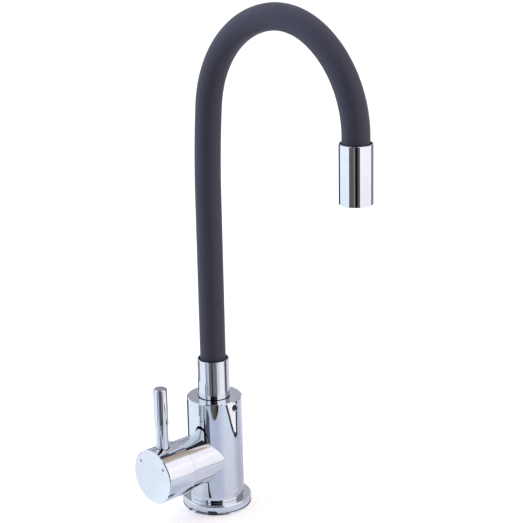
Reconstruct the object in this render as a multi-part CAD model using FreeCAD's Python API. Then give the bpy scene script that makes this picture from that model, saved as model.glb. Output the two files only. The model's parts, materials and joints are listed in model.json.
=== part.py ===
import FreeCAD, Part
import math
import os

# Flexible kitchen mixer tap. Millimetres.
# Frame: origin in the middle of the underside that stands on the worktop, +Z up.
# The lever and its cartridge point along -Y, and the spout reaches along +X.

# Base ring and its seal. The ring's overhang is measured from the body's side.
ring_overhang = 6.15
ring_height = 9.8
ring_edge_rounding = 1.6
ring_foot_chamfer = 0.4
seal_inset = 1.95
seal_width = 3.2
seal_thickness = 2.4
seal_groove_clearance = 0.1

# Tap body, a turned brass column with a side housing
body_radius = 24.0
body_top = 102.2
body_edge = 0.7
body_foot_edge = 0.5
foot_step = 2.0
foot_clearance = 0.1
housing_wall = 3.1
housing_reach = 45.6
housing_edge = 0.3
chamber_roof = 7.3

# Water inlets and fixing stud in the underside
inlet_thread_radius = 4.46
inlet_thread_depth = 14.0
inlet_spacing = 16.0
inlet_back = 4.0
stud_thread_radius = 3.4
stud_thread_depth = 16.0
stud_front = 13.0
channel_radius = 2.6

# Cartridge, which is set back from the end of the housing
cartridge_radius = 17.4
cartridge_bore_clearance = 0.2
cartridge_base_thickness = 4.5
locating_pin_radius = 1.5
locating_pin_length = 3.0
locating_pin_spread = 27.0
locating_pin_rise = 6.0
pin_hole_clearance = 0.1
port_radius = 2.6
inlet_port_rise = 3.5
outlet_port_drop = 7.5
port_seal_width = 1.5
port_seal_thickness = 1.6
port_seal_clearance = 0.1
disc_thickness = 4.0
fixed_disc_clearance = 0.2
moving_disc_radius = 12.0
moving_disc_thickness = 3.5
mixing_pocket_radius = 7.2
mixing_pocket_drop = 2.0
mixing_pocket_depth = 1.8
driver_height = 10.3
case_wall = 1.4
case_shoulder = 2.4
case_neck_radius = 11.0
case_neck_length = 7.7
guide_flange_thickness = 2.3
guide_neck_radius = 8.95
guide_clearance = 0.05
guide_end_play = 0.2
guide_flange_clearance = 0.2
guide_face_gap = 0.3
guide_neck_setback = 0.4
nut_thickness = 5.0
nut_setback = 5.1
nut_thread_step = 1.4
nut_thread_clearance = 0.1
nut_bore_clearance = 0.35
nut_notch_width = 3.0
nut_notch_depth = 2.0

# Spindle, which tilts on a cross pin
pivot_setback = 3.7
pivot_pin_radius = 1.5
pivot_hole_clearance = 0.06
pivot_seat_clearance = 0.02
tilt_range = 25.0
ball_arm = 11.5
ball_radius = 3.0
ball_side_clearance = 0.15
ball_end_clearance = 0.3
ball_neck_radius = 2.2
ball_neck_length = 6.0
bar_width = 6.0
bar_side_clearance = 0.1
square_size = 8.0
square_gap = 3.8
square_depth = 10.5
slot_clearance = 0.3

# Lever. Its hub's sizes are measured from the rim, which overlaps the housing.
hub_overlap = 1.0
hub_length = 28.45
hub_wall = 1.75
hub_rim_wall = 1.2
hub_rim_depth = 2.0
hub_skirt_clearance = 0.35
hub_hollow_depth = 11.4
hub_edge = 0.6
hub_rim_edge = 0.4
socket_clearance = 0.05
socket_end_clearance = 0.3
mark_radius = 1.3
mark_depth = 0.4
mark_ring_radius = 18.1
mark_angle = 53.0
stem_from_rim = 16.0
stem_radius = 5.35
stem_seat_drop = 2.15
stem_seat_clearance = 0.7
stem_thread_radius = 4.0
stem_thread_clearance = 0.05
stem_tip_gap = 0.2
stem_core_radius = 4.2
stem_top_edge = 0.5
grip_radius = 5.85
grip_rise = 45.2
grip_length = 32.4
grip_edge = 0.8
grip_lower_edge = 0.3
grip_bore_clearance = 0.1
grip_cap_thickness = 2.8
grip_end_gap = 0.3

# Swivel spigot, which turns in the body. Drops are measured down from the body's top.
swivel_bore_radius = 13.0
swivel_bore_depth = 29.2
swivel_clearance = 0.05
swivel_end_gap = 0.3
swivel_recess_depth = 2.4
swivel_recess_clearance = 1.12
outlet_channel_radius = 4.0
spigot_bore = 5.5
spigot_neck_radius = 9.5
spigot_thread_radius = 8.0
spigot_thread_clearance = 0.05
spigot_thread_length = 10.4
seal_ring_section = 0.93
lower_seal_drop = 21.7
upper_seal_drop = 16.2
seal_groove_width = 2.6
seal_groove_depth = 1.85
lower_glide_drop = 26.2
upper_glide_drop = 11.2
glide_ring_width = 3.0
glide_ring_depth = 0.9
glide_ring_gap = 0.03
lock_drop = 6.3
lock_azimuth = 5.7
lock_screw_radius = 3.0
lock_screw_inset = 2.4
lock_screw_bore_gap = 0.6
lock_screw_clearance = 0.05
lock_tip_radius = 1.8
lock_tip_reach = 1.2
lock_tip_clearance = 0.3
lock_mouth_radius = 3.7
lock_mouth_depth = 0.7
lock_key_width = 3.0
lock_key_depth = 3.0
key_sides = 6

# Spout ferrule
ferrule_bush_wall = 1.77
ferrule_rise = 34.7
ferrule_floor = 3.5
ferrule_wall = 0.9
ferrule_edge = 0.3
ferrule_neck_clearance = 0.1
bush_recess = 1.8
bush_length = 8.0
bush_gap = 0.05

# Hose: silicone sleeve over a steel gooseneck over a water tube
hose_radius = 11.06
sleeve_wall = 2.86
core_wall = 1.8
tube_wall = 1.6
layer_gap = 0.1
hose_leg = 164.4
lean_bend_radius = 787.0
lean_bend_angle = 5.7
rising_bend_radius = 91.6
rising_bend_angle = 74.1
crown_bend_radius = 73.4
crown_bend_angle = 41.0
falling_bend_radius = 84.1
hose_tail = 18.3
hose_pieces = 10
first_joint = 42.0
last_joint_before_end = 34.0
knuckle_margin = 3.94
knuckle_gap = 0.3
barb_length = 12.0
barb_gap = 0.1
barb_wall = 1.1
hose_nut_length = 13.9
hose_nut_gap = 0.5
hose_nut_side_gap = 0.4

# Outlet sleeve and aerator
outlet_bush_wall = 1.44
outlet_wall = 0.8
outlet_above_hose_end = 13.5
outlet_length = 47.6
outlet_edge = 0.3
outlet_nut_length = 14.7
outlet_shoulder = 5.0
outlet_shoulder_width = 1.1
aerator_thread_wall = 1.7
aerator_thread_clearance = 0.1
aerator_washer_thickness = 1.6
aerator_washer_width = 3.5
aerator_wall = 1.3
aerator_lip = 1.2
aerator_lip_thickness = 1.2
aerator_inset = 0.3
aerator_play = 0.1
aerator_hole_radius = 0.75
aerator_hole_spacing = 2.2
aerator_hole_rings = 3

up = FreeCAD.Vector(0, 0, 1)
parts_folder = "parts"

# Lengths closer than this count as the same
same_place = 1e-4


def turned(profile):
    """A solid turned about the Z axis from an outline of (radius, height) points."""
    points = [FreeCAD.Vector(radius, 0, height) for radius, height in profile]
    points.append(points[0])
    face = Part.Face(Part.makePolygon(points))
    return face.revolve(FreeCAD.Vector(0, 0, 0), up, 360)


def rod(radius, low, high, x=0.0, y=0.0):
    """A cylinder along Z between two heights."""
    return Part.makeCylinder(radius, high - low, FreeCAD.Vector(x, y, low))


def tube(outer, inner, low, high):
    """A plain tube about the Z axis."""
    return turned([(inner, low), (outer, low), (outer, high), (inner, high)])


def bar(width_x, width_y, low, high):
    """A rectangular bar about the Z axis."""
    corner = FreeCAD.Vector(-width_x / 2, -width_y / 2, low)
    return Part.makeBox(width_x, width_y, high - low, corner)


def edge_circles(shape, radius, height):
    """The circular edges about the Z axis of one radius, at one height."""
    found = []
    for edge in shape.Edges:
        if not isinstance(edge.Curve, Part.Circle):
            continue
        same_radius = abs(edge.Curve.Radius - radius) < same_place
        if same_radius and abs(edge.Curve.Center.z - height) < same_place:
            found.append(edge)
    return found


def along_lever(shape):
    """Turns a shape from the lever's own frame into the tap's frame.

    In the lever's frame, Z runs outwards from the body's axis, Y points up and X is shared."""
    placed = shape.copy()
    placed.rotate(FreeCAD.Vector(0, 0, 0), FreeCAD.Vector(1, 0, 0), 90)
    placed.translate(FreeCAD.Vector(0, 0, lever_height))
    return placed


def save(name, shape):
    """Writes one node, and prints its volume and number of solids."""
    shape.exportStep(os.path.join(parts_folder, name + ".step"))
    print(f"{name:22s} {len(shape.Solids):2d} solids {shape.Volume:10.1f} mm3")


# Radii of the body, worked out from the cartridge and the column
bore_radius = cartridge_radius + cartridge_bore_clearance
nut_radius = bore_radius + nut_thread_step
nut_thread_radius = nut_radius + nut_thread_clearance
housing_radius = nut_thread_radius + housing_wall
ring_radius = body_radius + ring_overhang
foot_radius = body_radius - foot_step
seal_inner_radius = ring_radius - seal_inset - seal_width

# The cartridge's chamber lies under the swivel bore, which fixes the lever's height.
swivel_bore_floor = body_top - swivel_bore_depth
lever_height = swivel_bore_floor - chamber_roof - bore_radius

# Cartridge stack, measured outwards from the body's axis along the lever's axis
cartridge_length = (
    cartridge_base_thickness + disc_thickness + moving_disc_thickness + driver_height
    + guide_face_gap + guide_flange_thickness + guide_end_play + case_shoulder
)
cartridge_seat = housing_reach - nut_setback - nut_thickness - cartridge_length
base_end = cartridge_seat + cartridge_base_thickness
fixed_disc_end = base_end + disc_thickness
moving_disc_end = fixed_disc_end + moving_disc_thickness
driver_end = moving_disc_end + driver_height
guide_start = driver_end + guide_face_gap
guide_flange_end = guide_start + guide_flange_thickness
case_inner_radius = cartridge_radius - case_wall
fixed_disc_radius = case_inner_radius - fixed_disc_clearance
shoulder_start = guide_flange_end + guide_end_play
shoulder_end = shoulder_start + case_shoulder
neck_end = shoulder_end + case_neck_length
pivot_out = neck_end - pivot_setback
inlet_port_spread = inlet_spacing / 2
ball_out = pivot_out - ball_arm
ball_travel = ball_arm * math.sin(math.radians(tilt_range))
disc_offset = -ball_travel / 2
pin_places = [(side * locating_pin_spread / 2, locating_pin_rise) for side in (-1, 1)]
port_places = [
    (-inlet_port_spread, inlet_port_rise),
    (inlet_port_spread, inlet_port_rise),
    (0.0, -outlet_port_drop),
]

# Places along the lever's axis, and heights of its stem
hub_radius = housing_radius + hub_skirt_clearance + hub_rim_wall
hub_rim = housing_reach - hub_overlap
hub_face = hub_rim + hub_length
hub_floor = hub_rim + hub_hollow_depth
square_start = neck_end + square_gap
square_end = hub_floor + square_depth
stem_out = hub_rim + stem_from_rim
grip_bottom = lever_height + grip_rise
grip_top = grip_bottom + grip_length

# Levels of the spout's lower end
ferrule_radius = hose_radius + ferrule_bush_wall + ferrule_wall
seal_ring_heights = (body_top - lower_seal_drop, body_top - upper_seal_drop)
glide_ring_heights = (body_top - lower_glide_drop, body_top - upper_glide_drop)
lock_height = body_top - lock_drop
ferrule_top = body_top + ferrule_rise
ferrule_bottom = body_top - swivel_recess_depth + swivel_end_gap
ferrule_floor_top = ferrule_bottom + ferrule_floor
ferrule_inner = ferrule_radius - ferrule_wall
spigot_radius = swivel_bore_radius - swivel_clearance
spigot_bottom = swivel_bore_floor + swivel_end_gap
seal_groove_radius = spigot_radius - seal_groove_depth
hose_start = ferrule_floor_top + hose_nut_length + hose_nut_gap
lock_screw_end = swivel_bore_radius + lock_screw_bore_gap
lock_groove_radius = lock_screw_end - lock_tip_reach - lock_tip_clearance


def base_ring():
    """The chromed ring that the body stands in, with a groove for its seal."""
    ring = tube(ring_radius, foot_radius + foot_clearance, 0, ring_height)
    ring = ring.makeFillet(ring_edge_rounding, edge_circles(ring, ring_radius, ring_height))
    ring = ring.makeChamfer(ring_foot_chamfer, edge_circles(ring, ring_radius, 0))
    inner = seal_inner_radius - seal_groove_clearance
    outer = seal_inner_radius + seal_width + seal_groove_clearance
    groove = tube(outer, inner, 0, seal_thickness + seal_groove_clearance)
    return ring.cut(groove)


def base_seal():
    """The flat rubber ring that keeps water off the hole in the worktop."""
    return tube(seal_inner_radius + seal_width, seal_inner_radius, 0, seal_thickness)


def tap_body():
    """The cast body: column, side housing, cartridge chamber, waterways and threads."""
    column = turned([
        (0, 0),
        (foot_radius, 0),
        (foot_radius, ring_height),
        (body_radius - body_foot_edge, ring_height),
        (body_radius, ring_height + body_foot_edge),
        (body_radius, body_top - body_edge),
        (body_radius - body_edge, body_top),
        (0, body_top),
    ])
    housing = turned([
        (0, 0),
        (housing_radius, 0),
        (housing_radius, housing_reach - housing_edge),
        (housing_radius - housing_edge, housing_reach),
        (0, housing_reach),
    ])
    body = column.fuse(along_lever(housing))

    chamber = rod(bore_radius, cartridge_seat, housing_reach)
    thread = rod(nut_thread_radius, shoulder_end, housing_reach)
    for x, rise in pin_places:
        radius = locating_pin_radius + pin_hole_clearance
        chamber = chamber.fuse(rod(radius, cartridge_seat - locating_pin_length - pin_hole_clearance,
                                   cartridge_seat, x, rise))
    body = body.cut(along_lever(chamber.fuse(thread)))

    # The two inlets rise behind the cartridge's seat and turn into its two upper ports.
    inlet_port_height = lever_height + inlet_port_rise
    for side in (-1, 1):
        x = side * inlet_port_spread
        body = body.cut(rod(inlet_thread_radius, 0, inlet_thread_depth, x, inlet_back))
        body = body.cut(rod(channel_radius, 0, inlet_port_height, x, inlet_back))
        turn = Part.makeSphere(channel_radius, FreeCAD.Vector(x, inlet_back, inlet_port_height))
        run = along_lever(rod(channel_radius, -inlet_back, cartridge_seat, x, inlet_port_rise))
        body = body.cut(turn).cut(run)

    # Mixed water leaves by the lower port and climbs the middle to the spigot.
    low = lever_height - outlet_port_drop
    climb = rod(outlet_channel_radius, low, swivel_bore_floor)
    turn = Part.makeSphere(outlet_channel_radius, FreeCAD.Vector(0, 0, low))
    run = along_lever(rod(channel_radius, 0, cartridge_seat, 0, -outlet_port_drop))
    body = body.cut(climb).cut(turn).cut(run)

    body = body.cut(rod(stud_thread_radius, 0, stud_thread_depth, 0, -stud_front))
    body = body.cut(rod(swivel_bore_radius, swivel_bore_floor, body_top))
    recess_radius = ferrule_radius + swivel_recess_clearance
    body = body.cut(rod(recess_radius, body_top - swivel_recess_depth, body_top))
    return body.cut(lock_screw_hole())


def radial(shape):
    """Lays a shape along the lock screw's line: its Z axis points outwards from the body."""
    placed = shape.copy()
    placed.rotate(FreeCAD.Vector(0, 0, 0), FreeCAD.Vector(0, 1, 0), 90)
    placed.rotate(FreeCAD.Vector(0, 0, 0), up, lock_azimuth)
    placed.translate(FreeCAD.Vector(0, 0, lock_height))
    return placed


def lock_screw_hole():
    """The threaded hole of the lock screw, with its widened mouth."""
    radius = lock_screw_radius + lock_screw_clearance
    inside_bore = swivel_bore_radius / 2
    outside_body = body_radius + lock_mouth_depth
    hole = rod(radius, inside_bore, outside_body)
    mouth = rod(lock_mouth_radius, body_radius - lock_mouth_depth, outside_body)
    return radial(hole.fuse(mouth))


def spout_lock_screw():
    """The socket grub screw whose tip runs in the spigot's groove and keeps the spout in."""
    outer_end = body_radius - lock_screw_inset
    screw = rod(lock_screw_radius, lock_screw_end, outer_end)
    screw = screw.fuse(rod(lock_tip_radius, lock_screw_end - lock_tip_reach, lock_screw_end))
    corner_radius = lock_key_width / 2 / math.cos(math.pi / key_sides)
    corners = []
    for step in range(key_sides + 1):
        angle = 2 * math.pi * step / key_sides
        x = corner_radius * math.cos(angle)
        y = corner_radius * math.sin(angle)
        corners.append(FreeCAD.Vector(x, y, outer_end - lock_key_depth))
    key = Part.Face(Part.makePolygon(corners)).extrude(FreeCAD.Vector(0, 0, lock_key_depth))
    return radial(screw.cut(key))


def cartridge_base():
    """The cartridge's foot: three ports, a recess for each port seal and two locating pins."""
    base = rod(cartridge_radius, cartridge_seat, base_end)
    recess_radius = port_radius + port_seal_width + port_seal_clearance
    recess_end = cartridge_seat + port_seal_thickness
    for x, rise in port_places:
        base = base.cut(rod(port_radius, cartridge_seat, base_end, x, rise))
        base = base.cut(rod(recess_radius, cartridge_seat, recess_end, x, rise))
    for x, rise in pin_places:
        pin = rod(locating_pin_radius, cartridge_seat - locating_pin_length, cartridge_seat, x, rise)
        base = base.fuse(pin)
    return along_lever(base)


def cartridge_port_seals():
    """The three rubber port seals, as separate solids."""
    seals = []
    seal_end = cartridge_seat + port_seal_thickness
    for x, rise in port_places:
        ring = rod(port_radius + port_seal_width, cartridge_seat, seal_end, x, rise)
        ring = ring.cut(rod(port_radius, cartridge_seat, seal_end, x, rise))
        seals.append(along_lever(ring))
    return Part.makeCompound(seals)


def fixed_disc():
    """The ceramic disc that stays put, with its three ports."""
    disc = rod(fixed_disc_radius, base_end, fixed_disc_end)
    for x, rise in port_places:
        disc = disc.cut(rod(port_radius, base_end, fixed_disc_end, x, rise))
    return along_lever(disc)


def moving_disc():
    """The ceramic disc that slides and turns, with the pocket that joins the ports."""
    disc = rod(moving_disc_radius, fixed_disc_end, moving_disc_end, 0, disc_offset)
    pocket_rise = disc_offset - mixing_pocket_drop
    pocket = rod(mixing_pocket_radius, fixed_disc_end, fixed_disc_end + mixing_pocket_depth, 0, pocket_rise)
    return along_lever(disc.cut(pocket))


def disc_driver():
    """The plastic carrier on the moving disc, with the slot that the spindle's ball pushes."""
    driver = rod(moving_disc_radius, moving_disc_end, driver_end, 0, disc_offset)
    width = 2 * (ball_radius + ball_side_clearance)
    length = 2 * (ball_radius + ball_end_clearance)
    slot = bar(width, length, ball_out - ball_radius - ball_end_clearance, driver_end)
    return along_lever(driver.cut(slot))


def bar_edge(out, side, tilt):
    """Where the spindle bar's edge crosses a plane square to the lever's axis, at a tilt.

    side is 1 for the upper edge and -1 for the lower, and out is measured from the pivot."""
    angle = math.radians(tilt)
    offset = side * bar_width / 2
    along = (out - offset * math.sin(angle)) / math.cos(angle)
    return offset * math.cos(angle) - along * math.sin(angle)


def tilt_slot(low, high):
    """The opening that the spindle bar sweeps as it tilts, between two distances out."""
    outline = []
    for out in (low, pivot_out, high):
        upper = max(bar_edge(out - pivot_out, 1, 0), bar_edge(out - pivot_out, 1, tilt_range))
        outline.append(FreeCAD.Vector(0, upper + slot_clearance, out))
    for out in (high, pivot_out, low):
        lower = min(bar_edge(out - pivot_out, -1, 0), bar_edge(out - pivot_out, -1, tilt_range))
        outline.append(FreeCAD.Vector(0, lower - slot_clearance, out))
    outline.append(outline[0])
    width = bar_width + 2 * bar_side_clearance
    face = Part.Face(Part.makePolygon(outline))
    slot = face.extrude(FreeCAD.Vector(width, 0, 0))
    slot.translate(FreeCAD.Vector(-width / 2, 0, 0))
    return slot


def lever_guide():
    """The turning guide that holds the spindle's cross pin."""
    guide = rod(case_inner_radius - guide_flange_clearance, guide_start, guide_flange_end)
    guide = guide.fuse(rod(guide_neck_radius, guide_flange_end, neck_end - guide_neck_setback))
    guide = guide.cut(tilt_slot(guide_start, neck_end))
    return along_lever(guide.cut(cross_rod(pivot_pin_radius + pivot_seat_clearance, guide_neck_radius)))


def cross_rod(radius, half_length):
    """A cylinder across the lever's axis at the pivot."""
    start = FreeCAD.Vector(-half_length, 0, pivot_out)
    return Part.makeCylinder(radius, 2 * half_length, start, FreeCAD.Vector(1, 0, 0))


def pivot_pin():
    """The cross pin that the spindle tilts on."""
    return along_lever(cross_rod(pivot_pin_radius, guide_neck_radius - guide_neck_setback))


def cartridge_case():
    """The cartridge's outer shell with its neck."""
    neck_inner = guide_neck_radius + guide_clearance
    return along_lever(turned([
        (case_inner_radius, base_end),
        (cartridge_radius, base_end),
        (cartridge_radius, shoulder_end),
        (case_neck_radius, shoulder_end),
        (case_neck_radius, neck_end),
        (neck_inner, neck_end),
        (neck_inner, shoulder_start),
        (case_inner_radius, shoulder_start),
    ]))


def cartridge_nut():
    """The brass ring nut that clamps the cartridge, with four notches for a spanner."""
    end = shoulder_end + nut_thickness
    nut = tube(nut_radius, case_neck_radius + nut_bore_clearance, shoulder_end, end)
    for turn in range(4):
        notch = bar(nut_notch_width, 2 * nut_notch_depth, end - nut_notch_depth, end)
        notch.translate(FreeCAD.Vector(0, nut_radius - nut_notch_depth, 0))
        notch.rotate(FreeCAD.Vector(0, 0, 0), up, 90 * turn)
        nut = nut.cut(notch)
    return along_lever(nut)


def spindle():
    """The steel spindle: ball, neck, flat bar on the cross pin and the square for the hub."""
    neck_top = ball_out + ball_neck_length
    shape = Part.makeSphere(ball_radius, FreeCAD.Vector(0, 0, ball_out))
    shape = shape.fuse(rod(ball_neck_radius, ball_out, neck_top))
    shape = shape.fuse(bar(bar_width, bar_width, neck_top, square_start))
    shape = shape.fuse(bar(square_size, square_size, square_start, square_end))
    return along_lever(shape.cut(cross_rod(pivot_pin_radius + pivot_hole_clearance, bar_width)))


def mark_places():
    """The centres of the two temperature marks on the hub's face."""
    places = []
    for side in (-1, 1):
        angle = math.radians(side * mark_angle)
        places.append((mark_ring_radius * math.sin(angle), mark_ring_radius * math.cos(angle)))
    return places


stem_seat = hub_radius - stem_seat_drop


def lever_hub():
    """The chromed cap over the housing's end, with its square socket and the stem's seat."""
    inner = hub_radius - hub_wall
    rim_inner = hub_radius - hub_rim_wall
    hub = turned([
        (0, hub_floor),
        (inner, hub_floor),
        (inner, hub_rim + hub_rim_depth),
        (rim_inner, hub_rim + hub_rim_depth),
        (rim_inner, hub_rim),
        (hub_radius - hub_rim_edge, hub_rim),
        (hub_radius, hub_rim + hub_rim_edge),
        (hub_radius, hub_face - hub_edge),
        (hub_radius - hub_edge, hub_face),
        (0, hub_face),
    ])
    socket = square_size + 2 * socket_clearance
    hub = hub.cut(bar(socket, socket, hub_floor, square_end + socket_end_clearance))
    for x, rise in mark_places():
        hub = hub.cut(rod(mark_radius, hub_face - mark_depth, hub_face, x, rise))
    hub = along_lever(hub)
    thread = rod(stem_thread_radius + stem_thread_clearance, lever_height, lever_height + hub_radius)
    seat = rod(stem_radius + stem_seat_clearance, lever_height + stem_seat, lever_height + hub_radius)
    drill = thread.fuse(seat)
    drill.translate(FreeCAD.Vector(0, -stem_out, 0))
    return hub.cut(drill)


def temperature_marks():
    """The two small coloured inlays on the hub's face."""
    inlays = [along_lever(rod(mark_radius, hub_face - mark_depth, hub_face, x, rise))
              for x, rise in mark_places()]
    return Part.makeCompound(inlays)


def lever_stem():
    """The lever's lower rod: its thread clamps the spindle, and its core carries the grip."""
    tip = lever_height + square_size / 2 + stem_tip_gap
    seat = lever_height + stem_seat
    core_top = grip_top - grip_cap_thickness - grip_end_gap
    stem = turned([
        (0, seat),
        (stem_radius, seat),
        (stem_radius, grip_bottom - stem_top_edge),
        (stem_radius - stem_top_edge, grip_bottom),
        (0, grip_bottom),
    ])
    stem = stem.fuse(rod(stem_thread_radius, tip, seat))
    stem = stem.fuse(rod(stem_core_radius, grip_bottom, core_top))
    stem.translate(FreeCAD.Vector(0, -stem_out, 0))
    return stem


def lever_grip():
    """The thicker sleeve that the hand takes, closed at the top."""
    bore = stem_core_radius + grip_bore_clearance
    bore_top = grip_top - grip_cap_thickness
    grip = turned([
        (bore, grip_bottom),
        (grip_radius - grip_lower_edge, grip_bottom),
        (grip_radius, grip_bottom + grip_lower_edge),
        (grip_radius, grip_top - grip_edge),
        (grip_radius - grip_edge, grip_top),
        (0, grip_top),
        (0, bore_top),
        (bore, bore_top),
    ])
    grip.translate(FreeCAD.Vector(0, -stem_out, 0))
    return grip


def swivel_spigot():
    """The brass spigot that turns in the body, grooved for seals, glide rings and lock screw."""
    neck_top = ferrule_floor_top
    spigot = tube(spigot_radius, spigot_bore, spigot_bottom, ferrule_bottom)
    spigot = spigot.fuse(tube(spigot_neck_radius, spigot_bore, ferrule_bottom, neck_top))
    spigot = spigot.fuse(tube(spigot_thread_radius, spigot_bore, neck_top, neck_top + spigot_thread_length))
    for height in seal_ring_heights:
        half = seal_groove_width / 2
        spigot = spigot.cut(tube(swivel_bore_radius, seal_groove_radius, height - half, height + half))
    for height in glide_ring_heights:
        half = glide_ring_width / 2
        floor = spigot_radius - glide_ring_depth
        spigot = spigot.cut(tube(swivel_bore_radius, floor, height - half, height + half))
    half = lock_tip_radius + lock_tip_clearance
    groove = tube(swivel_bore_radius, lock_groove_radius, lock_height - half, lock_height + half)
    return spigot.cut(groove)


def spigot_seals():
    """The two O-rings on the spigot."""
    rings = []
    for height in seal_ring_heights:
        centre = FreeCAD.Vector(0, 0, height)
        rings.append(Part.makeTorus(seal_groove_radius + seal_ring_section, seal_ring_section, centre))
    return Part.makeCompound(rings)


def glide_rings():
    """The two plastic rings that carry the spigot in the bore."""
    rings = []
    outer = swivel_bore_radius - glide_ring_gap
    inner = spigot_radius - glide_ring_depth
    for height in glide_ring_heights:
        half = glide_ring_width / 2
        rings.append(tube(outer, inner, height - half, height + half))
    return Part.makeCompound(rings)


def spout_ferrule():
    """The chromed cup on the spigot that hides the hose's lower fitting."""
    hole = spigot_neck_radius + ferrule_neck_clearance
    return turned([
        (hole, ferrule_bottom),
        (ferrule_radius, ferrule_bottom),
        (ferrule_radius, ferrule_top - ferrule_edge),
        (ferrule_radius - ferrule_edge, ferrule_top),
        (ferrule_inner, ferrule_top),
        (ferrule_inner, ferrule_floor_top),
        (hole, ferrule_floor_top),
    ])


def ferrule_bush():
    """The black rubber ring between the ferrule's rim and the hose."""
    top = ferrule_top - bush_recess
    return tube(ferrule_inner - bush_gap, hose_radius + bush_gap, top - bush_length, top)


# Hose layers, from the outside in
sleeve_inner = hose_radius - sleeve_wall
core_outer = sleeve_inner - layer_gap
core_inner = core_outer - core_wall
tube_outer = core_inner - layer_gap
tube_inner = tube_outer - tube_wall
barb_radius = tube_inner - barb_gap
barb_bore = barb_radius - barb_wall
knuckle_radius = hose_radius + knuckle_margin
layers = (
    ("hose_sleeve", hose_radius, sleeve_inner),
    ("hose_core", core_outer, core_inner),
    ("water_tube", tube_outer, tube_inner),
)

# The hose's line at rest: up, over four arcs and straight down, as (radius or None, length)
falling_bend_angle = 180 - lean_bend_angle - rising_bend_angle - crown_bend_angle
bends = (
    (lean_bend_radius, lean_bend_angle),
    (rising_bend_radius, rising_bend_angle),
    (crown_bend_radius, crown_bend_angle),
    (falling_bend_radius, falling_bend_angle),
)
spans = [(None, hose_leg)]
for bend_radius, bend_angle in bends:
    spans.append((bend_radius, bend_radius * math.radians(bend_angle)))
spans.append((None, hose_tail))
hose_length = sum(length for radius, length in spans)
joint_step = (hose_length - last_joint_before_end - first_joint) / (hose_pieces - 2)
joint_places = [first_joint + joint_step * number for number in range(hose_pieces - 1)]


def hose_line(distance):
    """The point of the hose's line at a distance from its start, and its lean from upright."""
    x = 0.0
    z = hose_start
    lean = 0.0
    left = distance
    for number, (radius, length) in enumerate(spans):
        last = number == len(spans) - 1
        step = left if last else min(left, length)
        if radius is None:
            x += step * math.sin(lean)
            z += step * math.cos(lean)
        else:
            turn = step / radius
            x += radius * (math.cos(lean) - math.cos(lean + turn))
            z += radius * (math.sin(lean + turn) - math.sin(lean))
            lean += turn
        left -= step
        if left <= 0:
            break
    return FreeCAD.Vector(x, 0, z), lean


def hose_wire(start, end):
    """The hose's line between two distances, as straight and round edges."""
    edges = []
    passed = 0.0
    for number, (radius, length) in enumerate(spans):
        last = number == len(spans) - 1
        low = max(start, passed)
        high = end if last else min(end, passed + length)
        if high - low > same_place:
            first = hose_line(low)[0]
            second = hose_line(high)[0]
            if radius is None:
                edges.append(Part.LineSegment(first, second).toShape())
            else:
                middle = hose_line((low + high) / 2)[0]
                edges.append(Part.Arc(first, middle, second).toShape())
        passed += length
    return Part.Wire(edges)


def hose_rod(radius, start, end):
    """A round solid along the hose's line between two distances."""
    centre, lean = hose_line(start)
    direction = FreeCAD.Vector(math.sin(lean), 0, math.cos(lean))
    circle = Part.Wire(Part.makeCircle(radius, centre, direction))
    return hose_wire(start, end).makePipeShell([circle], True, False)


def hose_piece(number, outer, inner):
    """One length of a hose layer, from one bending point to the next.

    Its lower end is hollowed and its upper end is domed about the bending points, so that
    neighbours turn on each other like ball and socket, with a small gap between them."""
    start = 0.0 if number == 0 else joint_places[number - 1]
    final = number == hose_pieces - 1
    end = hose_length if final else joint_places[number] + knuckle_radius
    piece = hose_rod(outer, start, end).cut(hose_rod(inner, start, end))
    if number > 0:
        hollow = Part.makeSphere(knuckle_radius + knuckle_gap, hose_line(start)[0])
        piece = piece.cut(hollow)
    if not final:
        joint = joint_places[number]
        dome = Part.makeSphere(knuckle_radius, hose_line(joint)[0])
        beyond = hose_rod(hose_radius + knuckle_gap, joint, end + knuckle_gap).cut(dome)
        piece = piece.cut(beyond)
    return piece.Solids[0]


def lower_hose_nut():
    """The brass nut on the spigot's thread, with the barb that holds the hose."""
    bottom = ferrule_floor_top
    top = bottom + hose_nut_length
    thread_end = bottom + spigot_thread_length + hose_nut_gap
    thread = spigot_thread_radius + spigot_thread_clearance
    return turned([
        (thread, bottom),
        (ferrule_inner - hose_nut_side_gap, bottom),
        (ferrule_inner - hose_nut_side_gap, top),
        (barb_radius, top),
        (barb_radius, top + barb_length),
        (barb_bore, top + barb_length),
        (barb_bore, thread_end),
        (thread, thread_end),
    ])


# Levels of the outlet, worked out from the end of the hose
hose_end_point = hose_line(hose_length)[0]
outlet_top = hose_end_point.z + outlet_above_hose_end
outlet_bottom = outlet_top - outlet_length
outlet_inner = hose_radius + outlet_bush_wall
outlet_radius = outlet_inner + outlet_wall
outlet_nut_top = hose_end_point.z - hose_nut_gap
shoulder_top = outlet_nut_top - outlet_nut_length
shoulder_bottom = shoulder_top - outlet_shoulder
shoulder_inner = outlet_inner - outlet_shoulder_width
aerator_thread_radius = outlet_radius - aerator_thread_wall
aerator_radius = aerator_thread_radius - aerator_thread_clearance
aerator_washer_bore = aerator_radius - aerator_washer_width
aerator_top = shoulder_bottom - aerator_washer_thickness
aerator_bottom = outlet_bottom + aerator_inset


def at_outlet(shape):
    """Moves a shape turned about the Z axis to the outlet's axis."""
    placed = shape.copy()
    placed.translate(FreeCAD.Vector(hose_end_point.x, 0, 0))
    return placed


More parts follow.
